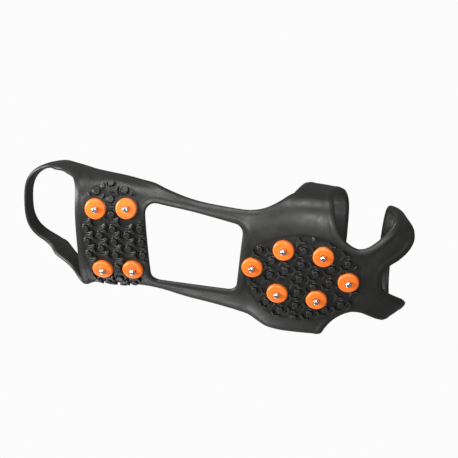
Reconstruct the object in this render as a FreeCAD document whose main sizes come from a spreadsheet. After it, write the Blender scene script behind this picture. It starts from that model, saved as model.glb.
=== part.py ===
"""Slip-on ice cleats for a right shoe, in the shape they have when stretched over the shoe.

One moulded rubber overshoe (heel pad, forefoot pad, two arch bars, heel strap, vamp strap and
toe strap) carries ten identical studs.  Each stud is a plastic collar under the pad and a steel
pin that runs through the collar and the rubber to a wide head inside.

Frame, in millimetres: +X to the toe, +Y to the inner (medial) side of the foot, -Y to the outer
(lateral) side, +Z up, stud tips at z = 0.
"""
import FreeCAD, Part
import Sketcher
import math
import os
from FreeCAD import Placement, Rotation, Vector

doc = FreeCAD.newDocument("ice_cleats")

# ---------------------------------------------------------------- driving dimensions
SIZES = {
    # the rubber
    "rubber_thickness": 3.2,
    "heel_floor": 8.2,
    "forefoot_floor": 9.2,
    # one stud, heights measured up from the tip of its pin
    "pin_tip_radius": 1.4,
    "pin_radius": 2.5,
    "pin_bevel": 1.1,
    "pin_edge_radius": 0.8,
    "pin_head_radius": 6.0,
    "pin_length": 8.8,
    "collar_face": 3.0,
    "collar_radius": 8.0,
    "collar_edge_radius": 1.5,
    "collar_flange_back": 5.4,
    "collar_hub_radius": 4.5,
    "collar_bore_radius": 2.6,
    "collar_hub_top": 7.6,
    "stud_clearance": 0.1,
    # stud layout on the two pads
    "heel_centre_x": -70.2,
    "heel_centre_y": -14.9,
    "heel_turn": -7.0,
    "heel_half_length": 11.8,
    "heel_half_width": 26.0,
    "forefoot_centre_x": 72.2,
    "forefoot_centre_y": -3.4,
    "forefoot_turn": 3.0,
    "forefoot_half_length": 36.5,
    "forefoot_pair_half_length": 15.0,
    "forefoot_pair_half_width": 19.0,
    # openings
    "arch_corner_radius": 6.0,
    "pad_skew": 0.07,
    "window_middle_y": -2.2,
    "toe_opening_centre_y": -6.0,
    "toe_opening_centre_z": 32.5,
    "toe_opening_half_width": 30.0,
    "toe_opening_half_height": 21.5,
    "cutter_reach": 120.0,
    # ends and middle of the shoe that fills the rubber
    "shoe_heel_end": -151.0,
    "shoe_toe_end": 162.0,
    "shoe_middle": 12.0,
}

# The shoe's cross-sections: place along X, half width, middle in Y, height of the sole, height
# of the widest point, height of the top.  The ends are then rounded off by end_rounding().
STATION_COLUMNS = ("place", "half", "spine", "sole", "wide", "top")
STATIONS = {
    "heel_back": (-151.0, 44.0, -13.0, 9.0, 34.0, 96.0),
    "heel_pad": (-88.0, 44.0, -12.5, 7.5, 30.0, 96.0),
    "arch_rear": (-48.0, 41.5, -12.5, 7.7, 29.0, 96.0),
    "arch_middle": (-8.0, 42.0, -6.5, 9.0, 29.0, 92.0),
    "arch_front": (32.0, 46.0, -3.0, 9.0, 29.0, 88.0),
    "ball_rear": (52.0, 55.0, 0.0, 8.7, 29.0, 86.0),
    "ball": (72.0, 59.0, -1.0, 8.2, 30.0, 84.0),
    "toes": (112.0, 62.5, -1.5, 8.6, 32.0, 77.0),
    "toe_front": (162.0, 62.0, -9.0, 13.0, 38.0, 68.0),
}

# Fullness of the outlines, as superellipse powers: 2 is an ellipse, more is squarer.
PLAN_POWER = {"heel": 4.0, "toe": 2.6}
SOLE_POWER = {"heel": 6.0, "toe": 3.4}
TOP_POWER = {"heel": 3.0, "toe": 2.6}
SECTION_POWER_BELOW = 3.0
SECTION_POWER_ABOVE = 2.3

# Directions from the shoe's middle to the sections that carry the rubber's surfaces.
SECTION_ANGLES = (-82, -74, -66, -58, -50, -41, -32, -22, -11, 0, 11, 20, 29, 38, 47, 56, 65, 74)
SECTION_POINTS = 36


def make_sheet():
    """The spreadsheet that holds every driving dimension under its own alias."""
    table = doc.addObject("Spreadsheet::Sheet", "Sizes")
    rows = list(SIZES.items())
    for station, values in STATIONS.items():
        for column, value in zip(STATION_COLUMNS, values):
            rows.append((station + "_" + column, value))
    for number, (alias, value) in enumerate(rows, start=1):
        table.set("A%d" % number, alias)
        table.set("B%d" % number, str(value))
        table.setAlias("B%d" % number, alias)
    doc.recompute()
    return table


sheet = make_sheet()


def size(alias):
    """Value of one driving dimension."""
    return float(sheet.get(alias))


# ---------------------------------------------------------------- the shoe's shape
def smooth_table(places, values, place):
    """Cubic through the table without overshoot (slopes are harmonic means)."""
    steps = [places[i + 1] - places[i] for i in range(len(places) - 1)]
    rises = [(values[i + 1] - values[i]) / steps[i] for i in range(len(steps))]
    slopes = [rises[0]]
    for before, after in zip(rises[:-1], rises[1:]):
        same_way = before * after > 0
        slopes.append(2 * before * after / (before + after) if same_way else 0.0)
    slopes.append(rises[-1])
    span = 0
    while span < len(steps) - 1 and place > places[span + 1]:
        span += 1
    share = (place - places[span]) / steps[span]
    share = min(1.0, max(0.0, share))
    start = values[span] * (2 * share**3 - 3 * share**2 + 1)
    start_slope = slopes[span] * steps[span] * (share**3 - 2 * share**2 + share)
    end = values[span + 1] * (3 * share**2 - 2 * share**3)
    end_slope = slopes[span + 1] * steps[span] * (share**3 - share**2)
    return start + start_slope + end + end_slope


def station_value(column, place):
    """One column of the cross-section table at a place along the shoe."""
    places = [size(station + "_place") for station in STATIONS]
    values = [size(station + "_" + column) for station in STATIONS]
    return smooth_table(places, values, place)


def half_length(side, offset):
    """Length from the shoe's middle to its heel or toe end, grown by offset."""
    end = size("shoe_toe_end") if side == "toe" else size("shoe_heel_end")
    return abs(end - size("shoe_middle")) + offset


def end_rounding(place, offset, powers):
    """Factor from 1 at the shoe's middle down to 0 at its end."""
    side = "toe" if place > size("shoe_middle") else "heel"
    share = abs(place - size("shoe_middle")) / half_length(side, offset)
    return (1 - share ** powers[side]) ** (1 / powers[side])


def section_sizes(place, offset):
    """Half width, middle in Y, widest height, depth below it and height above it."""
    wide = station_value("wide", place)
    half = (station_value("half", place) + offset) * end_rounding(place, offset, PLAN_POWER)
    below = (wide - station_value("sole", place) + offset) * end_rounding(place, offset, SOLE_POWER)
    above = (station_value("top", place) - wide + offset) * end_rounding(place, offset, TOP_POWER)
    return half, station_value("spine", place), wide, below, above


def section_wire(place, offset):
    """Closed smooth curve round the shoe at one place; angle 0 is under the sole."""
    half, middle, wide, below, above = section_sizes(place, offset)
    points = []
    for number in range(SECTION_POINTS):
        angle = 2 * math.pi * number / SECTION_POINTS
        sine, cosine = math.sin(angle), math.cos(angle)
        power = SECTION_POWER_BELOW if cosine > 0 else SECTION_POWER_ABOVE
        reach = (abs(sine) ** power + abs(cosine) ** power) ** (1 / power)
        depth = below if cosine > 0 else above
        points.append(Vector(place, middle + half * sine / reach, wide - depth * cosine / reach))
    curve = Part.BSplineCurve()
    curve.interpolate(Points=points, PeriodicFlag=True)
    return Part.Wire(curve.toShape())


def shoe_solid(offset):
    """The shoe grown by offset on every side, as one solid through its sections."""
    wires = []
    for degrees in SECTION_ANGLES:
        side = "toe" if degrees > 0 else "heel"
        sine, cosine = math.sin(math.radians(degrees)), math.cos(math.radians(degrees))
        power = PLAN_POWER[side]
        reach = (abs(sine) ** power + cosine ** power) ** (1 / power)
        place = size("shoe_middle") + half_length(side, offset) * sine / reach
        wires.append(section_wire(place, offset))
    return Part.makeLoft(wires, True)


def sole_height(place, across, offset):
    """Height of the underside at a point of the plan."""
    half, middle, wide, below, _ = section_sizes(place, offset)
    share = abs(across - middle) / half
    return wide - below * (1 - share**SECTION_POWER_BELOW) ** (1 / SECTION_POWER_BELOW)


# ---------------------------------------------------------------- helpers for solids
def add_shape(name, shape):
    """A document object that holds a shape set by this script."""
    item = doc.addObject("Part::Feature", name)
    item.Shape = shape
    return item


def extrude(name, outline, direction):
    """Prism from an outline, grown both ways along a direction by the cutters' reach."""
    prism = doc.addObject("Part::Extrusion", name)
    prism.Base = add_shape(name + "_outline", outline)
    prism.DirMode = "Custom"
    prism.Dir = direction
    prism.setExpression("LengthFwd", "Sizes.cutter_reach")
    prism.setExpression("LengthRev", "Sizes.cutter_reach")
    prism.Solid = True
    return prism


def face_of(edges):
    """Flat face inside a closed run of edges."""
    return Part.Face(Part.Wire(edges))


def straight_edges(points):
    """Edges that join the points in turn."""
    return [Part.makeLine(a, b) for a, b in zip(points[:-1], points[1:])]


def curve_edge(points):
    """One smooth edge through the points."""
    curve = Part.BSplineCurve()
    curve.interpolate(Points=points)
    return curve.toShape()


def rounded_polygon(corners, radius):
    """Closed edges of a polygon whose corners are arcs of one radius."""
    edges = []
    arcs = []
    count = len(corners)
    for number, corner in enumerate(corners):
        back = (corners[number - 1] - corner).normalize()
        ahead = (corners[(number + 1) % count] - corner).normalize()
        half_angle = back.getAngle(ahead) / 2
        run = radius / math.tan(half_angle)
        bisector = (back + ahead).normalize()
        middle = corner + bisector * (radius / math.sin(half_angle) - radius)
        arcs.append((corner + back * run, middle, corner + ahead * run))
    for number, (start, middle, end) in enumerate(arcs):
        edges.append(Part.Arc(start, middle, end).toShape())
        edges.append(Part.makeLine(end, arcs[(number + 1) % count][0]))
    return edges


# ---------------------------------------------------------------- openings in the rubber
# Edge of the foot opening seen from the side (x, z), from the heel strap's top edge along the
# arch bar and up the rear edge of the vamp strap.
FOOT_RIM_LATERAL = ((-118, 58), (-108, 49.5), (-95, 40.5), (-70, 32), (-35, 22.5), (-5, 18.3),
                    (22, 15.8), (40, 17), (52, 22), (60, 33), (65, 47), (69, 62), (73, 82))
FOOT_RIM_MEDIAL = ((-118, 58), (-108, 49.5), (-95, 40.5), (-70, 33), (-35, 26), (-5, 23),
                   (22, 22), (40, 24.5), (52, 30), (60, 38), (65, 49), (69, 62), (73, 82))
STRAP_TOP = 59.5
FOOT_RIM_TOP = 110.0
# Edge of the heel opening seen from the side: under the heel strap, down to the heel pad's rear
# edge.
HEEL_RIM = ((-138, 49), (-132, 46.5), (-125, 39.5), (-118.5, 34.5), (-112.5, 29), (-106, 21),
            (-102, 12), (-100, 4))
STRAP_UNDERSIDE = 49.0
# The window over the toes: side view above the widest height, and the rounded notch that it cuts
# into each side of the forefoot pad, in plan for the lateral side.
WINDOW_SIDE = ((89, 24), (91, 32), (98, 46), (103, 62), (104, 110), (131, 110), (132, 62),
               (134, 44), (136.5, 32), (137.5, 24))
WINDOW_NOTCH = ((89, -70), (90.5, -58), (97, -44), (106, -33.5), (115, -30), (123, -32.5),
                (131, -39.5), (136.5, -47), (137.5, -70))
# Front edge of the toe strap seen from the side: nothing lies ahead of it.
TOE_FRONT = ((155, 0), (154, 26), (149, 50), (143, 75), (200, 75), (200, 0))
# The opening under the arch, in plan: corners before rounding.
ARCH_CORNERS = ((-48.5, -48.3), (26.8, -37), (24.4, 18.6), (-41, 19))


def foot_opening(name, rim, side):
    """Everything above the rim on one side of the foot."""
    low = [Vector(x, 0, z) for x, z in rim]
    reach = size("cutter_reach")
    start, end = low[0], low[-1]
    rear_low = Vector(start.x - reach, 0, STRAP_TOP)
    start_low = Vector(-130, 0, STRAP_TOP)
    rear_high = Vector(rear_low.x, 0, FOOT_RIM_TOP)
    end_high = Vector(end.x, 0, FOOT_RIM_TOP)
    edges = [curve_edge([start_low] + low)]
    edges += straight_edges([end, end_high, rear_high, rear_low, start_low])
    prism = extrude(name, face_of(edges), Vector(0, side, 0))
    prism.setExpression("LengthRev", "0")
    prism.Placement = Placement(Vector(0, station_value("spine", -40), 0), Rotation())
    return prism


def heel_opening():
    """The opening behind the heel pad and under the heel strap."""
    rim = [Vector(x, 0, z) for x, z in HEEL_RIM]
    rear = rim[0].x - size("cutter_reach")
    middle = Vector(0, size("heel_centre_y"), 0)
    edges = [curve_edge(rim)]
    under = -size("cutter_reach") / 4
    edges += straight_edges([rim[-1], Vector(rim[-1].x, 0, under), Vector(rear, 0, under),
                             Vector(rear, 0, STRAP_UNDERSIDE), rim[0]])
    prism = extrude("heel_opening", face_of(edges), Vector(size("pad_skew"), 1, 0))
    prism.Placement = Placement(middle, Rotation())
    return prism


def window_openings():
    """The window over the toes and its two notches in the forefoot pad."""
    side = [Vector(x, 0, z) for x, z in WINDOW_SIDE]
    prisms = [extrude("window_over_toes", face_of(straight_edges(side + side[:1])), Vector(0, 1, 0))]
    middle = size("window_middle_y")
    for name, sign in (("window_notch_lateral", 1), ("window_notch_medial", -1)):
        notch = [Vector(x, middle + sign * (y - middle), 0) for x, y in WINDOW_NOTCH]
        edges = [curve_edge(notch), Part.makeLine(notch[-1], notch[0])]
        prism = extrude(name, face_of(edges), Vector(0, 0, 1))
        prism.setExpression("LengthRev", "0")
        prism.setExpression("LengthFwd", "Sizes.ball_wide")
        prisms.append(prism)
    return prisms


def arch_opening():
    """The large opening under the arch."""
    corners = [Vector(x, y, 0) for x, y in ARCH_CORNERS]
    outline = face_of(rounded_polygon(corners, size("arch_corner_radius")))
    prism = extrude("arch_opening", outline, Vector(0, 0, 1))
    prism.setExpression("LengthFwd", "Sizes.ball_wide")
    return prism


def toe_openings():
    """The oval that the tip of the toe comes through, and everything ahead of the toe strap."""
    centre = Vector(size("toes_place"), size("toe_opening_centre_y"), size("toe_opening_centre_z"))
    side = centre + Vector(0, size("toe_opening_half_width"), 0)
    top = centre + Vector(0, 0, size("toe_opening_half_height"))
    prism = extrude("toe_opening", face_of([Part.Ellipse(side, top, centre).toShape()]),
                    Vector(1, 0, 0))
    prism.setExpression("LengthRev", "0")
    ahead = [Vector(x, 0, z) for x, z in TOE_FRONT]
    front = extrude("toe_front", face_of(straight_edges(ahead + ahead[:1])), Vector(0, 1, 0))
    return [prism, front]


# ---------------------------------------------------------------- studs
def stud_points():
    """Name and plan position of every stud."""
    heel = []
    for end, along in (("rear", -1), ("front", 1)):
        for side, across in (("lateral", -1), ("medial", 1)):
            heel.append(("heel_%s_%s" % (end, side), along * size("heel_half_length"),
                         across * size("heel_half_width")))
    forefoot = []
    for end, along in (("rear", -1), ("front", 1)):
        forefoot.append(("forefoot_%s_centre" % end, along * size("forefoot_half_length"), 0.0))
        for side, across in (("lateral", -1), ("medial", 1)):
            forefoot.append(("forefoot_%s_%s" % (end, side),
                             along * size("forefoot_pair_half_length"),
                             across * size("forefoot_pair_half_width")))
    placed = []
    for pad, names in (("heel", heel), ("forefoot", forefoot)):
        turn = Rotation(Vector(0, 0, 1), size(pad + "_turn"))
        centre = Vector(size(pad + "_centre_x"), size(pad + "_centre_y"), 0)
        for name, along, across in names:
            placed.append((name, centre + turn.multVec(Vector(along, across, 0))))
    return placed


def stud_placement(point):
    """Places a stud so that its axis is square to the pad and its flange sits in the rubber."""
    offset = size("rubber_thickness")
    step = 1.0
    x, y = point.x, point.y
    slope_x = (sole_height(x + step, y, offset) - sole_height(x - step, y, offset)) / (2 * step)
    slope_y = (sole_height(x, y + step, offset) - sole_height(x, y - step, offset)) / (2 * step)
    axis = Vector(-slope_x, -slope_y, 1).normalize()
    surface = Vector(x, y, sole_height(x, y, offset))
    depth = size("pin_length") - size("rubber_thickness")
    return Placement(surface - axis * depth, Rotation(Vector(0, 0, 1), axis))


def upright_cylinder(radius, low, high, placement):
    """Cylinder on the stud's axis between two heights."""
    solid = Part.makeCylinder(radius, high - low, Vector(0, 0, low))
    solid.Placement = placement.multiply(solid.Placement)
    return solid


def stud_seats(placements):
    """Seat, hole and counterbore that every stud needs in the rubber."""
    gap = size("stud_clearance")
    cutters = []
    for placement in placements:
        seat = upright_cylinder(size("collar_radius") + gap, -size("collar_radius"),
                                size("collar_flange_back"), placement)
        hole = upright_cylinder(size("collar_hub_radius") + gap, 0,
                                size("pin_length"), placement)
        counterbore = upright_cylinder(size("pin_head_radius") + gap, size("collar_hub_top"),
                                       2 * size("pin_length"), placement)
        cutters.append(seat.fuse([hole, counterbore]))
    return add_shape("stud_seats", Part.makeCompound(cutters))


def profile_sketch(body, corners):
    """Closed profile in the body's XZ plane; each corner is a radius alias and a height alias."""
    sketch = body.newObject("Sketcher::SketchObject", body.Name + "_profile")
    plane = [item for item in body.Origin.OriginFeatures if item.Role == "XZ_Plane"][0]
    sketch.AttachmentSupport = [(plane, "")]
    sketch.MapMode = "FlatFace"
    spots = [Vector(size(radius) if radius else 0.0, size(height) if height else 0.0, 0)
             for radius, height in corners]
    count = len(spots)
    for number in range(count):
        sketch.addGeometry(Part.LineSegment(spots[number], spots[(number + 1) % count]))
    for number in range(count):
        sketch.addConstraint(Sketcher.Constraint("Coincident", number, 2, (number + 1) % count, 1))
    for number, (radius, height) in enumerate(corners):
        for kind, alias, axis in (("DistanceX", radius, -2), ("DistanceY", height, -1)):
            if not alias:
                sketch.addConstraint(Sketcher.Constraint("PointOnObject", number, 1, axis))
                continue
            bound = Sketcher.Constraint(kind, -1, 1, number, 1, size(alias))
            index = sketch.addConstraint(bound)
            sketch.setExpression("Constraints[%d]" % index, "Sizes." + alias)
    return sketch


def rounded_edge(body, base, radius, height, fillet_radius):
    """Fillet on the one circular edge at this radius and height of a turned body."""
    doc.recompute()
    for number, edge in enumerate(base.Shape.Edges, start=1):
        round_edge = isinstance(edge.Curve, Part.Circle)
        if round_edge and abs(edge.Curve.Radius - size(radius)) < 1e-6:
            level = size(height) if height else 0.0
            if abs(edge.Curve.Center.z - level) < 1e-6:
                fillet = body.newObject("PartDesign::Fillet", body.Name + "_fillet")
                fillet.Base = (base, ["Edge%d" % number])
                fillet.setExpression("Radius", "Sizes." + fillet_radius)
                return fillet
    raise RuntimeError("no edge to round on " + body.Name)


def turned_body(label, corners, placement, fillet_at):
    """A body turned from one profile, with one rounded edge, placed on its stud axis."""
    body = doc.addObject("PartDesign::Body", label)
    sketch = profile_sketch(body, corners)
    turned = body.newObject("PartDesign::Revolution", label + "_turned")
    turned.Profile = sketch
    turned.ReferenceAxis = (sketch, ["V_Axis"])
    turned.Angle = 360.0
    body.Tip = rounded_edge(body, turned, *fillet_at)
    body.Placement = placement
    return body


PIN_PROFILE = (("", ""), ("pin_tip_radius", ""), ("pin_radius", "pin_bevel"),
               ("pin_radius", "collar_hub_top"), ("pin_head_radius", "collar_hub_top"),
               ("pin_head_radius", "pin_length"), ("", "pin_length"))
COLLAR_PROFILE = (("collar_bore_radius", "collar_face"), ("collar_radius", "collar_face"),
                  ("collar_radius", "collar_flange_back"),
                  ("collar_hub_radius", "collar_flange_back"),
                  ("collar_hub_radius", "collar_hub_top"),
                  ("collar_bore_radius", "collar_hub_top"))


# ---------------------------------------------------------------- the rubber
def rubber_overshoe(placements):
    """Shell round the shoe, less its openings and the seats of the studs."""
    outside = add_shape("outside_form", shoe_solid(size("rubber_thickness")))
    inside = add_shape("shoe_form", flat_soled(shoe_solid(0.0)))
    shell = doc.addObject("Part::Cut", "shell")
    shell.Base = outside
    shell.Tool = inside
    seated_shell = doc.addObject("Part::Cut", "seated_shell")
    seated_shell.Base = shell
    seated_shell.Tool = stud_seats(placements)
    openings = doc.addObject("Part::MultiFuse", "openings")
    openings.Shapes = [foot_opening("foot_opening_lateral", FOOT_RIM_LATERAL, -1),
                       foot_opening("foot_opening_medial", FOOT_RIM_MEDIAL, 1),
                       heel_opening(), arch_opening()]
    openings.Shapes += toe_openings() + window_openings()
    rubber = doc.addObject("Part::Cut", "rubber_overshoe")
    rubber.Base = seated_shell
    rubber.Tool = openings
    return rubber


def flat_soled(solid):
    """The shoe with flat soles over the two pads, where the wide pin heads lie."""
    reach = size("cutter_reach")
    for pad, rear, front in (("heel", "heel_back_place", "arch_middle_place"),
                             ("forefoot", "arch_middle_place", "toes_place")):
        length = size(front) - size(rear)
        corner = Vector(size(rear), -reach, size(pad + "_floor") - reach)
        solid = solid.cut(Part.makeBox(length, 2 * reach, reach, corner))
    return solid


# ---------------------------------------------------------------- assembly and export
def build():
    """Every sub-part, keyed by its node name."""
    studs = [(name, stud_placement(point)) for name, point in stud_points()]
    parts = [rubber_overshoe([placement for _, placement in studs])]
    for name, placement in studs:
        parts.append(turned_body("collar_" + name, COLLAR_PROFILE, placement,
                                 ("collar_radius", "collar_face", "collar_edge_radius")))
        parts.append(turned_body("pin_" + name, PIN_PROFILE, placement,
                                 ("pin_radius", "pin_bevel", "pin_edge_radius")))
    doc.recompute()
    return parts


def check(parts):
    """Stops when an object failed or a sub-part is not one sound solid."""
    for item in doc.Objects:
        if "Invalid" in item.State or "Error" in item.State:
            raise RuntimeError("failed object: " + item.Name)
    for part in parts:
        shape = part.Shape
        if shape.isNull() or not shape.isValid() or len(shape.Solids) != 1:
            raise RuntimeError("%s is not one valid solid" % part.Label)


def export(parts):
    """Writes one STEP file for each sub-part."""
    os.makedirs("parts", exist_ok=True)
    for part in parts:
        part.Shape.exportStep("parts/%s.step" % part.Label)


sub_parts = build()
check(sub_parts)
export(sub_parts)
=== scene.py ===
"""Slip-on ice cleats for a right shoe, in the shape they have when stretched over it.

One moulded rubber overshoe carries two treads of round posts and Y-shaped bars and ten studs, each a
plastic collar with a steel pin.  Lengths are in millimetres until a mesh is made.  +X is the toe, +Y
the inner (medial) side of the foot, +Z up.
"""
import math

import bpy
import numpy as np
from mathutils import Matrix, Vector
from mathutils.geometry import delaunay_2d_cdt
from mathutils.kdtree import KDTree


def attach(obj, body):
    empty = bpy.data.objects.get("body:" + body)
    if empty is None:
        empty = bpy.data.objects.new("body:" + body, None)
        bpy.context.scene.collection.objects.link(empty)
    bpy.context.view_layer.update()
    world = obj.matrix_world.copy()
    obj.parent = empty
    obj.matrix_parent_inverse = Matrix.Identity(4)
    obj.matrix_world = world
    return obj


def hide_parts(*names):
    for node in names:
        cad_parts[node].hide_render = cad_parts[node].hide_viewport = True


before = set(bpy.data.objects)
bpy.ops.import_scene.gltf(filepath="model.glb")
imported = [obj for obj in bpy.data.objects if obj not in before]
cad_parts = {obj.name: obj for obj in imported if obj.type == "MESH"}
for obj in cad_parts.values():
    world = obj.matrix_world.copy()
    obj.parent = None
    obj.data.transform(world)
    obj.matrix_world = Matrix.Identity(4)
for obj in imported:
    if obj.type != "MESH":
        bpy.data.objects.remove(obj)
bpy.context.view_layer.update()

# ---------------------------------------------------------------- sizes shared with the CAD model
RUBBER_THICKNESS = 3.2
HEEL_FLOOR = 8.2
FOREFOOT_FLOOR = 9.2
SHOE_HEEL_END = -151.0
SHOE_TOE_END = 162.0
SHOE_MIDDLE = 12.0
# Cross-sections of the shoe: place along X, half width, middle in Y, height of the sole, height
# of the widest point, height of the top.
PLACE, HALF, SPINE, SOLE, WIDE, TOP = range(6)
STATIONS = np.array([
    (-151.0, 44.0, -13.0, 9.0, 34.0, 96.0),
    (-88.0, 44.0, -12.5, 7.5, 30.0, 96.0),
    (-48.0, 41.5, -12.5, 7.7, 29.0, 96.0),
    (-8.0, 42.0, -6.5, 9.0, 29.0, 92.0),
    (32.0, 46.0, -3.0, 9.0, 29.0, 88.0),
    (52.0, 55.0, 0.0, 8.7, 29.0, 86.0),
    (72.0, 59.0, -1.0, 8.2, 30.0, 84.0),
    (112.0, 62.5, -1.5, 8.6, 32.0, 77.0),
    (162.0, 62.0, -9.0, 13.0, 38.0, 68.0)])
PLAN_POWER = {"heel": 4.0, "toe": 2.6}
SOLE_POWER = {"heel": 6.0, "toe": 3.4}
TOP_POWER = {"heel": 3.0, "toe": 2.6}
POWER_BELOW = 3.0
POWER_ABOVE = 2.3
# Stud layout: pad centre, turn in degrees, then each stud's place along and across the pad.
HEEL_CENTRE = (-70.2, -14.9)
HEEL_TURN = -7.0
FOREFOOT_CENTRE = (72.2, -3.4)
FOREFOOT_TURN = 3.0
HEEL_HALF_LENGTH = 11.8
HEEL_HALF_WIDTH = 26.0
FOREFOOT_HALF_LENGTH = 36.5
FOREFOOT_PAIR_HALF_LENGTH = 15.0
FOREFOOT_PAIR_HALF_WIDTH = 19.0
# One stud, heights from the tip of its pin.
PIN_LENGTH = 8.8
PIN_RADIUS = 2.5
PIN_HEAD_RADIUS = 6.0
COLLAR_FACE = 3.0
COLLAR_RADIUS = 8.0
COLLAR_EDGE_RADIUS = 1.5
COLLAR_HUB_RADIUS = 4.5
COLLAR_HUB_TOP = 7.6
COLLAR_BORE_RADIUS = 2.6

# ---------------------------------------------------------------- sizes of the visual model only
MID = RUBBER_THICKNESS / 2
RIM_STEP = 1.4
GRID_STEP = 1.4
RIM_PARTS = 6
BEAD_HEIGHT = 0.4
BEAD_WIDTH = 5.0
TREAD_RECESS = 0.3
TREAD_STEP_WIDTH = 0.9
BAR_LENGTH = 4.3
# How dark the treads' recessed floors are painted: painted shadow from the posts and bars round them.
TREAD_FLOOR_PAINTED_SHADE = 0.25
POST_COLLAR_GAP = 2.55
POST_EDGE_GAP = 0.6
SHORTEST_BAR = 1.6
GRID_CLEARANCE = 0.62 * GRID_STEP
# Where the floor inside is flat under the shoe, and where it steps from the heel's height to the
# forefoot's.
FLAT_REAR, FLAT_FRONT = -120.0, 112.0
RISE_START, RISE_LENGTH = -30.0, 40.0
STRAP_JOINT = -125.0
# Pocket round each pin's head in the floor inside: radius, width of its wall and extra depth.
POCKET_RADIUS = 6.9
POCKET_WALL = 0.4
POCKET_DEPTH = 0.35
# The heel pad's inner rear corner stands off the shoe: place, turn, height and spread of the flare.
FLARE = {"place": -98.0, "turn": 80.0, "height": 8.0, "along": 10.0, "round": 24.0}
STRAP_ROWS = 8
STRAP_COLUMNS = 92
# Each tread: the lattice of its posts and the way the lone arm of its bars points along the shoe.
HEEL_LATTICE = {"centre": HEEL_CENTRE, "turn": HEEL_TURN, "column": 10.5, "pitch": 11.3,
                "start": 1.1, "arm": -1}
FOREFOOT_LATTICE = {"centre": FOREFOOT_CENTRE, "turn": FOREFOOT_TURN, "column": 11.3, "pitch": 12.1,
                    "start": 2.5, "arm": 1}


# ---------------------------------------------------------------- the shoe's shape
def smooth_table(places, values, at):
    """Cubic through the table without overshoot (slopes are harmonic means)."""
    steps = np.diff(places)
    rises = np.diff(values) / steps
    product = rises[:-1] * rises[1:]
    total = np.where(product > 0, rises[:-1] + rises[1:], 1.0)
    inner = np.where(product > 0, 2 * product / total, 0.0)
    slopes = np.concatenate([rises[:1], inner, rises[-1:]])
    span = np.searchsorted(places[1:-1], at)
    share = np.clip((at - places[span]) / steps[span], 0, 1)
    start = values[span] * (2 * share**3 - 3 * share**2 + 1)
    start_slope = slopes[span] * steps[span] * (share**3 - 2 * share**2 + share)
    end = values[span + 1] * (3 * share**2 - 2 * share**3)
    end_slope = slopes[span + 1] * steps[span] * (share**3 - share**2)
    return start + start_slope + end + end_slope


def station(column, at):
    """One column of the cross-section table at places along the shoe."""
    return smooth_table(STATIONS[:, PLACE], STATIONS[:, column], at)


def end_rounding(at, offset, powers):
    """Factor from 1 at the shoe's middle down to 0 at its ends."""
    toe = at > SHOE_MIDDLE
    length = np.where(toe, SHOE_TOE_END - SHOE_MIDDLE, SHOE_MIDDLE - SHOE_HEEL_END) + offset
    power = np.where(toe, powers["toe"], powers["heel"])
    share = np.clip(np.abs(at - SHOE_MIDDLE) / length, 0, 0.99999)
    return (1 - share**power) ** (1 / power)


def section_sizes(at, offset):
    """Half width, middle in Y, widest height, depth below it and height above it."""
    wide = station(WIDE, at)
    half = (station(HALF, at) + offset) * end_rounding(at, offset, PLAN_POWER)
    below = (wide - station(SOLE, at) + offset) * end_rounding(at, offset, SOLE_POWER)
    above = (station(TOP, at) - wide + offset) * end_rounding(at, offset, TOP_POWER)
    return half, station(SPINE, at), wide, below, above


def form_point(at, turn, offset):
    """Points on the form; turn is in degrees round the section, 0 under the sole, + medial."""
    half, spine, wide, below, above = section_sizes(at, offset)
    sine, cosine = np.sin(np.radians(turn)), np.cos(np.radians(turn))
    power = np.where(cosine > 0, POWER_BELOW, POWER_ABOVE)
    depth = np.where(cosine > 0, below, above)
    reach = (np.abs(sine) ** power + np.abs(cosine) ** power) ** (1 / power)
    across = spine + half * sine / reach
    return np.stack([at + 0 * across, across, wide - depth * cosine / reach], axis=-1)


def form_level(points, offset):
    """1 on the form, less inside it."""
    half, spine, wide, below, above = section_sizes(points[:, 0], offset)
    low = points[:, 2] < wide
    power = np.where(low, POWER_BELOW, POWER_ABOVE)
    depth = np.where(low, below, above)
    return (np.abs(points[:, 1] - spine) / half) ** power + (np.abs(points[:, 2] - wide) / depth) ** power


def form_normal(points, offset):
    """Outward normals of the form at points on it."""
    step = 0.02
    slopes = []
    for axis in np.eye(3):
        slopes.append(form_level(points + step * axis, offset) - form_level(points - step * axis, offset))
    normal = np.stack(slopes, axis=1)
    return normal / np.linalg.norm(normal, axis=1, keepdims=True)


def turn_at_height(at, height, side):
    """Turn of the point at a height above the widest place."""
    _, _, wide, _, above = section_sizes(at, MID)
    rise = (height - wide) / above
    return side * np.degrees(np.arctan2((1 - rise**POWER_ABOVE) ** (1 / POWER_ABOVE), -rise))


def turn_at_across(at, across):
    """Turn of the point of the underside at a place in plan."""
    half, spine, _, _, _ = section_sizes(at, MID)
    share = (across - spine) / half
    return np.degrees(np.arctan2(share, (1 - np.abs(share) ** POWER_BELOW) ** (1 / POWER_BELOW)))


# ---------------------------------------------------------------- chart of the middle surface
# The chart lays the rubber's middle surface out flat: first coordinate along the shoe, second
# the girth from the line under the sole.
TURNS = np.linspace(0, 180, 181)
LENGTH_PLACES = np.arange(-142.0, 157.0, 0.5)


def plan_lengths():
    """Length along the plan outline at each of LENGTH_PLACES."""
    half = section_sizes(LENGTH_PLACES, MID)[0]
    runs = np.hypot(np.diff(LENGTH_PLACES), np.diff(half))
    return np.concatenate([[0.0], np.cumsum(runs)])


LENGTHS = plan_lengths()


def girths(at):
    """Girth from under the sole to each of TURNS, one row for each place."""
    outline = form_point(at[:, None], TURNS[None, :], MID)
    runs = np.linalg.norm(np.diff(outline, axis=1), axis=2)
    return np.concatenate([np.zeros((len(at), 1)), np.cumsum(runs, axis=1)], axis=1)


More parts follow.
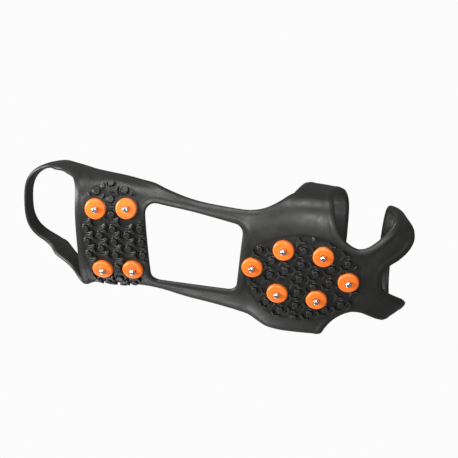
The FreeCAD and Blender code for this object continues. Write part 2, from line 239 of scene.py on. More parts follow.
def to_chart(at, turn):
    """Chart coordinates of points of the form."""
    at, turn = np.asarray(at, float), np.asarray(turn, float)
    rows = girths(at)
    index = np.clip(np.abs(turn).astype(int), 0, 179)
    share = np.abs(turn) - index
    line = np.arange(len(at))
    girth = rows[line, index] * (1 - share) + rows[line, index + 1] * share
    return np.stack([np.interp(at, LENGTH_PLACES, LENGTHS), np.sign(turn) * girth], axis=1)


def from_chart(chart):
    """Place along the shoe and turn of chart points."""
    at = np.interp(chart[:, 0], LENGTHS, LENGTH_PLACES)
    rows = girths(at)
    girth = np.abs(chart[:, 1])
    index = np.clip((rows < girth[:, None]).sum(axis=1) - 1, 0, 179)
    line = np.arange(len(at))
    share = (girth - rows[line, index]) / (rows[line, index + 1] - rows[line, index])
    return at, np.sign(chart[:, 1]) * np.clip(index + share, 0, 180)


def plan_to_chart(spot):
    """Chart coordinates of the underside's point at a place in plan."""
    place, across = np.array([spot[0]]), np.array([spot[1]])
    return to_chart(place, turn_at_across(place, across))[0]


# ---------------------------------------------------------------- lines in the chart
def smooth_line(points, step, closed=False):
    """Smooth line through the points, divided evenly."""
    points = np.asarray(points, float)
    if closed:
        knots = np.concatenate([points[-1:], points, points[:2]])
    else:
        knots = np.concatenate([2 * points[:1] - points[1:2], points, 2 * points[-1:] - points[-2:-1]])
    share = np.linspace(0, 1, 12, endpoint=False)[:, None]
    pieces = []
    for a, b, c, d in zip(knots[:-3], knots[1:-2], knots[2:-1], knots[3:]):
        slope_b, slope_c = (c - a) / 2, (d - b) / 2
        pieces.append(b + slope_b * share + (3 * (c - b) - 2 * slope_b - slope_c) * share**2
                      + (2 * (b - c) + slope_b + slope_c) * share**3)
    pieces.append(knots[-2:-1])
    return divide(np.concatenate(pieces), step, closed)


def spread(line, count):
    """A line's points again, as a number of even parts."""
    runs = np.linalg.norm(np.diff(line, axis=0), axis=1)
    along = np.concatenate([[0.0], np.cumsum(runs)])
    marks = np.linspace(0, along[-1], count + 1)
    return np.stack([np.interp(marks, along, line[:, axis]) for axis in range(line.shape[1])], axis=1)


def divide(line, step, closed=False):
    """A line's points again, at even steps; a closed line's last point is left out."""
    length = np.linalg.norm(np.diff(line, axis=0), axis=1).sum()
    even = spread(line, max(2, int(round(length / step))))
    return even[:-1] if closed else even


def shifted(line, distance, closed=False):
    """A line moved to its left by a distance."""
    if closed:
        run = np.roll(line, -1, axis=0) - np.roll(line, 1, axis=0)
    else:
        run = np.gradient(line, axis=0)
    run = run / np.linalg.norm(run, axis=1, keepdims=True)
    return line + distance * np.stack([-run[:, 1], run[:, 0]], axis=1)


def chart_line(spots):
    """Chart points of a list of (place along the shoe, turn)."""
    spots = np.asarray(spots, float)
    return to_chart(spots[:, 0], spots[:, 1])


def inside(loop, points):
    """Which points lie inside a closed line."""
    result = np.zeros(len(points), bool)
    for (x1, y1), (x2, y2) in zip(loop, np.roll(loop, -1, axis=0)):
        if y1 != y2:
            crosses = (points[:, 1] < y1) != (points[:, 1] < y2)
            result ^= crosses & (points[:, 0] < x1 + (points[:, 1] - y1) * (x2 - x1) / (y2 - y1))
    return result


def distance_to(line, points):
    """Distance from each point to a closed line."""
    best = np.full(len(points), 1e9)
    for start, end in zip(line, np.roll(line, -1, axis=0)):
        run = end - start
        share = np.clip((points - start) @ run / (run @ run), 0, 1)
        best = np.minimum(best, np.linalg.norm(points - start - share[:, None] * run, axis=1))
    return best


def depth_inside(loop, points):
    """Distance to a closed line, positive inside it."""
    return np.where(inside(loop, points), 1, -1) * distance_to(loop, points)


# ---------------------------------------------------------------- outlines of the rubber
# Rims as (place along the shoe, turn round the section), each from its heel or lower end.
HEEL_RIM = ((-118.5, -94.5), (-112.6, -86), (-107.2, -74), (-103.3, -56), (-102, -43), (-101.2, -25),
            (-100.2, -5), (-99, 16), (-97.8, 40), (-96.7, 55), (-96.7, 66), (-99.3, 76), (-107, 86),
            (-118.5, 94.5))
FOOT_RIM_LATERAL = ((-119.8, 118), (-109.7, 107.3), (-98.6, 100), (-90, 95.6), (-80, 93.2), (-65, 92),
                    (-52, 89.3), (-44, 83.5), (-36, 75), (-28, 70), (-19, 66.8), (-5, 64.3), (8, 62.5),
                    (22, 60), (32, 60.3), (41.7, 63), (51.3, 72), (57.9, 89), (61.1, 94), (68, 120),
                    (71, 145), (73, 180))
FOOT_RIM_MEDIAL = ((-119.8, 118), (-109.7, 107.3), (-98.6, 100), (-86, 95.5), (-72, 93), (-46, 86),
                   (-33, 79), (-19, 74), (8, 70), (22, 69), (32, 70), (42, 74), (52, 83), (58, 92),
                   (62, 100), (68, 120), (71, 145), (73, 180))
WINDOW_RIM = ((103, 180), (102, 150), (98.8, 128), (93.8, 108), (91.2, 95), (90.8, 80), (92.2, 61),
              (94.4, 47), (99, 37), (105.5, 31), (112.8, 28.2), (119.5, 30), (125.3, 35), (130.8, 42.5),
              (135.2, 52), (137.3, 65), (137.2, 80), (135, 95), (132, 112), (129.8, 145), (129, 180))
TOE_RIM_LATERAL = ((133.2, -1), (133.6, -7), (137, -14), (143.7, -20.5), (149.6, -31), (152.8, -45),
                   (153, -57), (152, -69), (149.9, -79), (147, -90), (143.8, -105), (141, -125),
                   (139.3, -150), (138.7, -180))
TOE_RIM_MEDIAL = ((134.4, 8), (138.5, 16), (145.4, 26), (150.8, 38), (153, 54), (152.3, 68), (150, 80),
                  (147, 92), (143.8, 107), (141, 125), (139.3, 150), (138.7, 180))
# Heights of the heel strap's edges at the ends of those rims: (place, height).
STRAP_LOW = ((-138.0, 49.0), (-132.0, 46.5), (-125.5, 39.9))
STRAP_HIGH = ((-138.0, 59.5), (-130.0, 59.3), (-125.0, 58.2))
STRAP_BACK_LOW = 49.0
STRAP_BACK_HIGH = 59.5
# How far those edges fall below the strap's back on the way to its joint: (place, fall).
STRAP_LOW_FALLS = ((-160.0, 0.0), (-138.0, 0.0), (-131.5, 2.2))
STRAP_HIGH_FALLS = ((-160.0, 0.0), (-138.0, 0.0), (-130.0, 0.2))
STRAP_BACK_FRONT = -140.0
ARCH_CORNERS = ((-48.5, -48.3), (26.8, -37), (24.4, 18.6), (-41, 19))
ARCH_CORNER_RADIUS = 7.0
HEEL_TREAD = ((-95.4, -28), (-94.4, -43), (-84.7, -59), (-76, -67), (-66, -65), (-56, -54),
              (-50.2, -34), (-46.5, -5), (-45.4, 20), (-48.4, 37), (-52, 52), (-62, 62), (-75, 64),
              (-84, 59), (-88.5, 38), (-92.5, 16))
FOREFOOT_TREAD_CENTRE = (73.3, 0.4)
FOREFOOT_TREAD_HALF = (46.0, 37.2)


def rounded_corners(corners, radius):
    """Points of a polygon with round corners."""
    corners = [Vector(corner) for corner in corners]
    points = []
    for number, corner in enumerate(corners):
        back = (corners[number - 1] - corner).normalized()
        ahead = (corners[(number + 1) % len(corners)] - corner).normalized()
        half_angle = back.angle(ahead) / 2
        bisector = (back + ahead).normalized()
        centre = corner + bisector * (radius / math.sin(half_angle))
        start = corner + back * (radius / math.tan(half_angle)) - centre
        sweep = math.pi - 2 * half_angle
        sweep = sweep if start.y * back.x - start.x * back.y > 0 else -sweep
        for part in np.linspace(0, 1, 9):
            angle = sweep * part
            cosine, sine = math.cos(angle), math.sin(angle)
            points.append((centre.x + start.x * cosine - start.y * sine,
                           centre.y + start.x * sine + start.y * cosine))
    return np.array(points)


def arch_loop():
    """The opening under the arch, with the rubber on its left."""
    corners = rounded_corners(ARCH_CORNERS, ARCH_CORNER_RADIUS)
    plan = divide(np.concatenate([corners, corners[:1]]), 1.0, True)
    loop = to_chart(plan[:, 0], turn_at_across(plan[:, 0], plan[:, 1]))
    ahead = np.roll(loop, -1, axis=0)
    if np.sum(loop[:, 0] * ahead[:, 1] - loop[:, 1] * ahead[:, 0]) > 0:
        loop = loop[::-1]
    loop = shifted(loop, MID, True)
    return divide(np.concatenate([loop, loop[:1]]), RIM_STEP, True)


def strap_spots(edge, side):
    """The strap's edge as (place, turn)."""
    return [(place, turn_at_height(np.array(place), height, side)) for place, height in edge]


def mirrored(spots, side):
    """A rim's spots on one side of the shoe."""
    return [(place, side * turn) for place, turn in spots]


def cut_at_joint(line):
    """The part of a line ahead of the strap's joint, with its end on the joint."""
    joint = np.interp(STRAP_JOINT, LENGTH_PLACES, LENGTHS)
    first = int(np.argmax(line[:, 0] > joint))
    share = (joint - line[first - 1, 0]) / (line[first, 0] - line[first - 1, 0])
    end = line[first - 1] + share * (line[first] - line[first - 1])
    return np.concatenate([[end], line[first:]])


def on_seam(spot, side):
    """The point over the top of the foot at the same place along the shoe."""
    place = np.interp(spot[0], LENGTHS, LENGTH_PLACES)
    return spot[0], side * girths(np.array([place]))[0, -1]


def seam(start, end):
    """Points over the top of the foot between two points of it on the same side."""
    marks = divide(np.stack([start, end]), RIM_STEP)[:, 0]
    places = np.interp(marks, LENGTHS, LENGTH_PLACES)
    return np.stack([marks, np.sign(start[1]) * girths(places)[:, -1]], axis=1)


def foot_rim_line(spots, side):
    """Middle of the foot opening's rim on one side, from the strap's joint to the top."""
    line = chart_line(strap_spots(STRAP_HIGH, side) + mirrored(spots, side))
    line = cut_at_joint(shifted(smooth_line(line, RIM_STEP), -side * MID))
    line[-1] = on_seam(line[-1], side)
    return line


def window_line(side):
    """Middle of the window's rim on one side, from its heel end over the top to its toe end."""
    line = shifted(smooth_line(chart_line(mirrored(WINDOW_RIM, side)), RIM_STEP), -side * MID)
    line[0] = on_seam(line[0], side)
    line[-1] = on_seam(line[-1], side)
    return line


def toe_line():
    """Middle of the toe opening's rim, from the top round the lateral side to the top again."""
    spots = TOE_RIM_LATERAL[::-1] + TOE_RIM_MEDIAL
    line = shifted(smooth_line(chart_line(spots), RIM_STEP), MID)
    line[0] = on_seam(line[0], -1)
    line[-1] = line[0] * (1, -1)
    return line


def heel_line():
    """Middle of the heel pad's rear rim, from the strap's lateral joint to the medial one."""
    line = chart_line(strap_spots(STRAP_LOW, -1) + list(HEEL_RIM) + strap_spots(STRAP_LOW, 1)[::-1])
    line = shifted(smooth_line(line, RIM_STEP), -MID)
    middle = len(line) // 2
    return np.concatenate([cut_at_joint(line[:middle + 1]), cut_at_joint(line[:middle - 1:-1])[::-1][1:]])


def rubber_outline():
    """The rubber's outer edge in the chart, with the rubber on its left, and the strap's joint."""
    heel, toe = heel_line(), toe_line()
    foot_lateral, foot_medial = foot_rim_line(FOOT_RIM_LATERAL, -1), foot_rim_line(FOOT_RIM_MEDIAL, 1)
    window_lateral, window_medial = window_line(-1), window_line(1)
    foot_medial[-1] = foot_lateral[-1] * (1, -1)
    low = (heel[-1, 1] - heel[0, 1]) / 2
    high = (foot_medial[0, 1] - foot_lateral[0, 1]) / 2
    heel[0, 1], heel[-1, 1] = -low, low
    foot_lateral[0, 1], foot_medial[0, 1] = -high, high
    heights = np.linspace(low, high, STRAP_ROWS + 1)
    joint = np.stack([np.full(STRAP_ROWS + 1, heel[0, 0]), heights], axis=1)
    parts = [heel[::-1],
             joint * (1, -1),
             foot_lateral,
             seam(foot_lateral[-1], window_lateral[0]),
             window_lateral,
             seam(window_lateral[-1], toe[0]),
             toe,
             seam(toe[-1], window_medial[-1]),
             window_medial[::-1],
             seam(window_medial[0], foot_medial[-1]),
             foot_medial[::-1],
             joint[::-1]]
    return np.concatenate([part[:-1] for part in parts]), joint


def heel_tread_loop():
    """Edge of the heel's tread in the chart."""
    return smooth_line(chart_line(HEEL_TREAD), RIM_STEP, True)


def forefoot_tread_loop():
    """Edge of the forefoot's tread in the chart."""
    centre = plan_to_chart(FOREFOOT_TREAD_CENTRE)
    angle = np.radians(np.arange(0, 361, 3))
    turn = math.radians(FOREFOOT_TURN)
    along = FOREFOOT_TREAD_HALF[0] * np.cos(angle)
    across = FOREFOOT_TREAD_HALF[1] * np.sin(angle)
    loop = centre + np.stack([along * math.cos(turn) - across * math.sin(turn),
                              along * math.sin(turn) + across * math.cos(turn)], axis=1)
    return divide(loop, RIM_STEP, True)


# ---------------------------------------------------------------- the rubber's middle surface
def ring(centre, radius):
    """Circle of points in the chart."""
    angles = np.radians(np.arange(0, 360, 10))
    return centre + radius * np.stack([np.cos(angles), np.sin(angles)], axis=1)


def chart_triangles(outline, arch, treads, studs):
    """Even triangles between the chart's lines: their corners and their faces."""
    lines = [outline, arch]
    for stud in studs:
        lines += [ring(stud, POCKET_RADIUS), ring(stud, POCKET_RADIUS + POCKET_WALL)]
    for tread in treads:
        lines += [shifted(tread, TREAD_STEP_WIDTH / 2, True), shifted(tread, -TREAD_STEP_WIDTH / 2, True)]
    edges = []
    start = 0
    for line in lines:
        numbers = np.arange(start, start + len(line))
        edges += list(zip(numbers.tolist(), np.roll(numbers, -1).tolist()))
        start += len(line)
    fixed = np.concatenate(lines)
    tree = KDTree(len(fixed))
    for number, (along, girth) in enumerate(fixed):
        tree.insert((along, girth, 0), number)
    tree.balance()
    low, high = outline.min(axis=0), outline.max(axis=0)
    rows = np.arange(low[1], high[1], GRID_STEP * math.sqrt(3) / 2)
    grid = []
    for number, girth in enumerate(rows):
        along = np.arange(low[0] + (number % 2) * GRID_STEP / 2, high[0], GRID_STEP)
        grid.append(np.stack([along, np.full(len(along), girth)], axis=1))
    grid = np.concatenate(grid)
    grid = grid[inside(outline, grid) & ~inside(arch, grid)]
    clear = [tree.find((along, girth, 0))[2] > GRID_CLEARANCE for along, girth in grid]
    spots = np.concatenate([fixed, grid[np.array(clear)]])
    made = delaunay_2d_cdt([Vector(spot) for spot in spots], edges, [], 0, 1e-5)
    spots = np.array([tuple(spot) for spot in made[0]])
    faces = np.array(made[2])
    centres = spots[faces].mean(axis=1)
    return spots, faces[inside(outline, centres) & ~inside(arch, centres)]


def tread_recess(spots, treads):
    """How far the pads' undersides are set back at chart points."""
    recess = np.zeros(len(spots))
    for tread in treads:
        share = np.clip(depth_inside(tread, spots) / TREAD_STEP_WIDTH + 0.5, 0, 1)
        recess = np.maximum(recess, TREAD_RECESS * share * share * (3 - 2 * share))
    return recess


def strap_edge(back, falls, joint_height):
    """Places and heights of one edge of the heel strap, from its back to its joint."""
    places = [place for place, _ in falls] + [STRAP_JOINT]
    heights = [back - fall for _, fall in falls] + [joint_height]
    return np.array(places), np.array(heights)


def heel_strap(joint):
    """Rows of points of the heel strap, each from the lateral joint round the back to the medial."""
    heights = form_point(*from_chart(joint), MID)[:, 2]
    low_edge = strap_edge(STRAP_BACK_LOW + MID, STRAP_LOW_FALLS, heights[0])
    high_edge = strap_edge(STRAP_BACK_HIGH - MID, STRAP_HIGH_FALLS, heights[-1])
    rows = []
    for height in heights:
        share = (height - heights[0]) / (heights[-1] - heights[0])

        def level(places):
            low, high = smooth_table(*low_edge, places), smooth_table(*high_edge, places)
            return low + share * (high - low)

        back = np.linspace(SHOE_HEEL_END - MID + 0.01, STRAP_BACK_FRONT, 2000)
        _, _, wide, _, above = section_sizes(back, MID)
        end = np.interp(0, above - (level(back) - wide), back)
        places = STRAP_JOINT + (end - STRAP_JOINT) * np.sin(np.linspace(0, math.pi / 2, 200))
        half, spine, wide, _, above = section_sizes(places, MID)
        rise = np.clip((level(places) - wide) / above, 0, 1)
        reach = half * (1 - rise**POWER_ABOVE) ** (1 / POWER_ABOVE)
        lateral = np.stack([places, spine - reach, level(places)], axis=1)
        medial = np.stack([places, spine + reach, level(places)], axis=1)
        rows.append(spread(np.concatenate([lateral, medial[-2::-1]]), STRAP_COLUMNS))
    return np.array(rows)


def strap_faces(start):
    """Outward faces between the strap's rows, whose points are numbered from start."""
    faces = []
    columns = STRAP_COLUMNS + 1
    for row in range(STRAP_ROWS):
        for column in range(STRAP_COLUMNS):
            corner = start + row * columns + column
            faces.append((corner, corner + columns, corner + columns + 1, corner + 1))
    return faces


def welded(points, values, faces):
    """The same surface with points that coincide made one."""
    tree = KDTree(len(points))
    for number, point in enumerate(points):
        tree.insert(point, number)
    tree.balance()
    first = np.array([min(number for _, number, _ in tree.find_range(point, 0.05)) for point in points])
    kept, numbers = np.unique(first, return_inverse=True)
    return points[kept], values[kept], [tuple(int(numbers[corner]) for corner in face) for face in faces]


def middle_surface():
    """Points, recesses and pockets of the points, and outward faces of the rubber's middle surface."""
    outline, joint = rubber_outline()
    treads = [heel_tread_loop(), forefoot_tread_loop()]
    studs = [plan_to_chart(spot) for spot in stud_points().values()]
    spots, triangles = chart_triangles(outline, arch_loop(), treads, studs)
    at, turn = from_chart(spots)
    points = form_point(at, turn, MID)
    along, across = (at - FLARE["place"]) / FLARE["along"], (turn - FLARE["turn"]) / FLARE["round"]
    flare = FLARE["height"] * np.exp(-(along**2 + across**2))
    points += form_normal(points, MID) * flare[:, None]
    strap = heel_strap(joint).reshape(-1, 3)
    near_stud = np.min([np.linalg.norm(spots - stud, axis=1) for stud in studs], axis=0)
    pocket = near_stud < POCKET_RADIUS + POCKET_WALL / 2
    forms = np.zeros((len(spots) + len(strap), 2))
    forms[:len(spots)] = np.stack([tread_recess(spots, treads), pocket], axis=1)
    faces = [tuple(face[::-1]) for face in triangles.tolist()] + strap_faces(len(points))
    return welded(np.concatenate([points, strap]), forms, faces)


def open_edges(faces):
    """Directed edges that only one face has."""
    edges = set()
    for face in faces:
        edges.update(zip(face, face[1:] + face[:1]))
    return [(start, end) for start, end in sorted(edges) if (end, start) not in edges]


def rim_bead(points, rim_spots):
    """How far the rubber is thicker near its rims, at each point."""
    tree = KDTree(len(rim_spots))
    for number, spot in enumerate(rim_spots):
        tree.insert(spot, number)
    tree.balance()
    distance = np.array([tree.find(point)[2] for point in points])
    return BEAD_HEIGHT * np.sin(math.pi * np.clip(distance / BEAD_WIDTH, 0, 1)) ** 2


def rubber_mesh():
    """The rubber: outer and inner surfaces joined by half-round rims, and how dark each point is painted as
    painted shadow on the tread floors.
    """
    points, forms, faces = middle_surface()
    recess, pocket = forms.T
    normals = form_normal(points, MID)
    rim = open_edges(faces)
    rim_points = np.array(sorted({corner for edge in rim for corner in edge}))
    outer = points + normals * (MID - recess + rim_bead(points, points[rim_points]))[:, None]
    inner = points - normals * MID
    blend = np.clip((inner[:, 0] - RISE_START) / RISE_LENGTH, 0, 1)
    floor = HEEL_FLOOR + (FOREFOOT_FLOOR - HEEL_FLOOR) * blend
    flat = (inner[:, 0] > FLAT_REAR) & (inner[:, 0] < FLAT_FRONT) & (pocket == 0)
    curved = inner[:, 2] - POCKET_DEPTH * pocket
    inner[:, 2] = np.where(flat, np.maximum(curved, floor), curved)
    outward = np.zeros_like(points)
    for start, end in rim:
        run = points[end] - points[start]
        out = np.cross(run / np.linalg.norm(run), normals[start])
        outward[start] += out
        outward[end] += out
    place_of = {int(corner): number for number, corner in enumerate(rim_points)}
    out = outward[rim_points]
    out -= np.sum(out * normals[rim_points], axis=1, keepdims=True) * normals[rim_points]
    out /= np.linalg.norm(out, axis=1, keepdims=True)
    layers = [outer, inner]
    for part in range(1, RIM_PARTS):
        angle = math.pi * part / RIM_PARTS
        across = math.cos(angle) * normals[rim_points] + math.sin(angle) * out
        layers.append(points[rim_points] + MID * across)
    count = len(points)

    def chain(corner):
        rounds = [2 * count + part * len(rim_points) + place_of[corner] for part in range(RIM_PARTS - 1)]
        return [corner] + rounds + [count + corner]

    solid = list(faces) + [tuple(count + corner for corner in face[::-1]) for face in faces]
    for start, end in rim:
        ends, starts = chain(end), chain(start)
        for part in range(RIM_PARTS):
            solid.append((ends[part], starts[part], starts[part + 1], ends[part + 1]))
    vertices = np.concatenate(layers)
    # Painted shadow: the outer surface is painted darker where it is recessed inside the treads.
    painted_shade = np.zeros(len(vertices))
    painted_shade[:count] = TREAD_FLOOR_PAINTED_SHADE * recess / TREAD_RECESS
    return vertices, solid, painted_shade


# ---------------------------------------------------------------- studs
def turned(spot, degrees):
    """A plan vector turned about the vertical."""
    cosine, sine = math.cos(math.radians(degrees)), math.sin(math.radians(degrees))
    return spot[0] * cosine - spot[1] * sine, spot[0] * sine + spot[1] * cosine


def stud_points():
    """Name and plan position of every stud."""
    heel, forefoot = [], []
    for end, along in (("rear", -1), ("front", 1)):
        forefoot.append(("forefoot_%s_centre" % end, along * FOREFOOT_HALF_LENGTH, 0.0))
        for side, across in (("lateral", -1), ("medial", 1)):
            heel.append(("heel_%s_%s" % (end, side), along * HEEL_HALF_LENGTH, across * HEEL_HALF_WIDTH))
            forefoot.append(("forefoot_%s_%s" % (end, side), along * FOREFOOT_PAIR_HALF_LENGTH,
                             across * FOREFOOT_PAIR_HALF_WIDTH))
    placed = {}
    for centre, turn, studs in ((HEEL_CENTRE, HEEL_TURN, heel), (FOREFOOT_CENTRE, FOREFOOT_TURN, forefoot)):
        for name, along, across in studs:
            shift = turned((along, across), turn)
            placed[name] = (centre[0] + shift[0], centre[1] + shift[1])
    return placed


def sole_height(place, across):
    """Height of the rubber's underside at a point of the plan."""
    half, middle, wide, below, _ = section_sizes(np.array([place]), RUBBER_THICKNESS)
    share = abs(across - middle) / half
    return float((wide - below * (1 - share**POWER_BELOW) ** (1 / POWER_BELOW))[0])


def stud_matrix(spot):
    """Places a stud, tip at the origin and head up, square to the pad."""
    x, y = spot
    slope_x = (sole_height(x + 1, y) - sole_height(x - 1, y)) / 2
    slope_y = (sole_height(x, y + 1) - sole_height(x, y - 1)) / 2
    axis = Vector((-slope_x, -slope_y, 1)).normalized()
    tip = Vector((x, y, sole_height(x, y))) - axis * (PIN_LENGTH - RUBBER_THICKNESS)
    return Matrix.Translation(tip) @ Vector((0, 0, 1)).rotation_difference(axis).to_matrix().to_4x4()


def arc_profile(centre, radius, start, end, parts):
    """Points of an arc in a profile of (radius, height)."""
    angles = np.radians(np.linspace(start, end, parts + 1))
    return [(centre[0] + radius * math.cos(angle), centre[1] + radius * math.sin(angle)) for angle in angles]


def turned_mesh(profile, parts):
    """Vertices and faces of a profile turned about its height axis; a zero radius is a single point."""
    vertices, rings, faces = [], [], []
    for radius, height in profile:
        if radius == 0:
            rings.append([len(vertices)] * parts)
            vertices.append((0, 0, height))
            continue
        rings.append(list(range(len(vertices), len(vertices) + parts)))
        for number in range(parts):
            angle = 2 * math.pi * number / parts
            vertices.append((radius * math.cos(angle), radius * math.sin(angle), height))
    for ring, after in zip(rings[:-1], rings[1:]):
        for number in range(parts):
            ahead = (number + 1) % parts
            face = [ring[number], ring[ahead], after[ahead], after[number]]
            faces.append(tuple(dict.fromkeys(face)))
    return np.array(vertices, float), faces


def collar_profile():
    """Crowned face with a round edge, flange, hub and countersunk bore, from bore to bore."""
    edge = arc_profile((COLLAR_RADIUS - COLLAR_EDGE_RADIUS, COLLAR_FACE + COLLAR_EDGE_RADIUS),
                       COLLAR_EDGE_RADIUS, -84, 0, 9)
    face = [(COLLAR_BORE_RADIUS, COLLAR_FACE + 0.9), (COLLAR_BORE_RADIUS + 0.02, COLLAR_FACE + 0.35),
            (COLLAR_BORE_RADIUS + 0.22, COLLAR_FACE + 0.1), (COLLAR_BORE_RADIUS + 0.5, COLLAR_FACE + 0.01),
            (4.6, COLLAR_FACE)]
    back = [(COLLAR_RADIUS, 6.2), (COLLAR_RADIUS - 0.4, 6.6), (COLLAR_HUB_RADIUS, 6.6),
            (COLLAR_HUB_RADIUS, COLLAR_HUB_TOP), (COLLAR_BORE_RADIUS, COLLAR_HUB_TOP)]
    return face + edge + back + face[:1]


def pin_profile():
    """Rounded tip, shank and wide head, from the tip's middle to the head's middle."""
    tip = [(0, 0), (0.9, 0.02), (1.35, 0.08), (1.7, 0.24), (2.0, 0.5), (2.22, 0.82), (2.38, 1.2),
           (2.47, 1.65), (PIN_RADIUS, 2.1)]
    head = [(PIN_RADIUS, COLLAR_HUB_TOP), (PIN_HEAD_RADIUS - 0.3, COLLAR_HUB_TOP),
            (PIN_HEAD_RADIUS, COLLAR_HUB_TOP + 0.3), (PIN_HEAD_RADIUS, PIN_LENGTH - 0.4),
            (PIN_HEAD_RADIUS - 0.15, PIN_LENGTH - 0.1), (PIN_HEAD_RADIUS - 0.5, PIN_LENGTH),
            (2.2, PIN_LENGTH), (1.9, PIN_LENGTH - 0.15), (0, PIN_LENGTH - 0.2)]
    return tip + head


# ---------------------------------------------------------------- treads
# A post's profile as radius and height; its first two points spread a flat foot on the floor, painted dark
# as a contact shadow round the post.
POST_PROFILE = ((3.9, -0.2), (3.5, 0.08), (2.95, 0.2), (2.74, 0.5), (2.68, 0.95), (2.62, 1.5),
                (2.52, 1.9), (2.36, 2.1), (2.06, 2.19), (1.6, 2.2), (1.15, 2.15), (0, 2.1))
# Layers of a bar from its foot to its top: half width and height; the two lowest spread a flat foot on the
# floor, painted dark as a contact shadow round the bar.
BAR_LAYERS = ((1.9, -0.2), (1.6, 0.08), (1.2, 0.2), (1.04, 0.5), (0.98, 1.0), (0.93, 1.55),
              (0.84, 1.86), (0.64, 2.02), (0.36, 2.08), (0.04, 2.1))
POST_PARTS = 28
COLLAR_GAP = 0.7


def tip_outline(direction, length, half_width):
    """Round end of an arm: points across it, from its left side to its right."""
    along = np.array([math.cos(direction), math.sin(direction)])
    left = np.array([-along[1], along[0]])
    angles = np.radians(np.linspace(-90, 90, 9))
    return [along * (length + half_width * math.cos(angle)) + left * half_width * math.sin(angle)
            for angle in angles]


def bar_outline(arms, half_width):
    """Outline of arms from one point: each arm is its direction in radians and its length."""
    points = []
    for number, (direction, length) in enumerate(arms):
        points += tip_outline(direction, max(length, 0.6) - half_width, half_width)
        ahead = arms[(number + 1) % len(arms)][0]
        between = direction + ((ahead - direction) % (2 * math.pi)) / 2
        opening = math.sin(between - direction)
        if opening > 1e-6 and len(arms) > 2:
            reach = half_width / opening * 1.25
            points.append(np.array([math.cos(between), math.sin(between)]) * reach)
    return np.array(points)


def stacked(outlines):
    """Closed solid side and top over outlines of equal count: rows of (points, height)."""
    count = len(outlines[0][0])
    rings = [np.column_stack([line, np.full(count, height)]) for line, height in outlines]
    vertices = np.concatenate(rings)
    faces = []
    for layer in range(len(outlines) - 1):
        for number in range(count):
            ahead = (number + 1) % count
            low, high = layer * count, (layer + 1) * count
            faces.append((low + number, low + ahead, high + ahead, high + number))
    top = (len(outlines) - 1) * count
    faces.append(tuple(range(top, top + count)))
    return vertices, faces


def free_parts(centre, direction, tread, studs):
    """Start and end of the part of an arm that is inside the tread and clear of the collars."""
    marks = np.linspace(0, BAR_LENGTH, 44)
    spots = centre + marks[:, None] * np.array([math.cos(direction), math.sin(direction)])
    free = depth_inside(tread, spots) > 0
    for stud in studs:
        free &= np.linalg.norm(spots - stud, axis=1) > COLLAR_RADIUS + COLLAR_GAP
    if free[0]:
        blocked = np.argmin(free) if not free.all() else len(marks) - 1
        return 0.0, marks[blocked]
    if free[-1]:
        return marks[len(marks) - np.argmin(free[::-1])], BAR_LENGTH
    return 0.0, 0.0


def lattice_spots(lattice):
    """Chart points of the lattice: a row of shifts along and across for its posts."""
    spots = []
    for column in range(-6, 7):
        for row in range(-9, 10):
            shift = 0.5 if column % 2 else 0.0
            spots.append((column * lattice["column"], lattice["start"] + (row + shift) * lattice["pitch"]))
    return spots


def tread_mesh(lattice, tread, studs):
    """Posts and bars of one tread, laid on the pad, and how dark each point is painted as painted shadow.

    Painted shadow: tops are left as light as the pad; a quarter of the height below them the sides and the
    flat feet are painted fully dark.
    """
    centre = plan_to_chart(lattice["centre"])
    turn = math.radians(lattice["turn"])
    vertices, faces, total = [], [], 0

    def add(shape, spot):
        nonlocal total
        shape_vertices, shape_faces = shape
        vertices.append(shape_vertices + (spot[0], spot[1], 0))
        faces.extend(tuple(total + corner for corner in face[::-1]) for face in shape_faces)
        total += len(shape_vertices)

    post = turned_mesh(POST_PROFILE, POST_PARTS)
    for along, across in lattice_spots(lattice):
        spot = centre + turned((along, across), lattice["turn"])
        clear = min(np.linalg.norm(spot - stud) for stud in studs) > COLLAR_RADIUS + POST_COLLAR_GAP
        if clear and depth_inside(tread, spot[None])[0] > POST_EDGE_GAP:
            add(post, spot)
        bar = centre + turned((along + lattice["arm"] * lattice["column"] * 2 / 3, across), lattice["turn"])
        lone = turn if lattice["arm"] > 0 else turn + math.pi
        directions = [lone + math.radians(angle) for angle in (0, 120, 240)]
        runs = [free_parts(bar, direction, tread, studs) for direction in directions]
        if runs[0][0] == 0 and runs[0][1] > 0:
            arms = [(direction, run[1]) for direction, run in zip(directions, runs)]
            add(stacked([(bar_outline(arms, width), height) for width, height in BAR_LAYERS]), bar)
            continue
        for direction, (start, end) in zip(directions, runs):
            if end - start > SHORTEST_BAR:
                middle = bar + (start + end) / 2 * np.array([math.cos(direction), math.sin(direction)])
                arms = [(direction, (end - start) / 2), (direction + math.pi, (end - start) / 2)]
                add(stacked([(bar_outline(arms, width), height) for width, height in BAR_LAYERS]), middle)
    flat = np.concatenate(vertices)
    points = form_point(*from_chart(flat[:, :2]), MID)
    height = flat[:, 2]
    points = points + form_normal(points, MID) * (MID - TREAD_RECESS + height)[:, None]
    # Painted shadow: the sides and flat feet of the posts and bars are painted dark, the tops stay light.
    share = np.clip(height / POST_PROFILE[-1][1], 0, 1)
    return points, faces, np.clip(4 * (0.96 - share), 0, 1)


# ---------------------------------------------------------------- objects
def new_object(name, vertices, faces, smooth_angle=None):
    """Smooth mesh object from millimetre vertices."""
    mesh = bpy.data.meshes.new(name)
    mesh.from_pydata((vertices * 0.001).tolist(), [], faces)
    mesh.validate()
    mesh.shade_smooth()
    if smooth_angle:
        mesh.set_sharp_from_angle(angle=math.radians(smooth_angle))
    item = bpy.data.objects.new(name, mesh)
    bpy.context.scene.collection.objects.link(item)
    return item


def point_values(item, name, values):
    """Keeps one number for each vertex under a name that materials read."""
    layer = item.data.attributes.new(name, "FLOAT", "POINT")
    layer.data.foreach_set("value", np.asarray(values, dtype=np.float32))


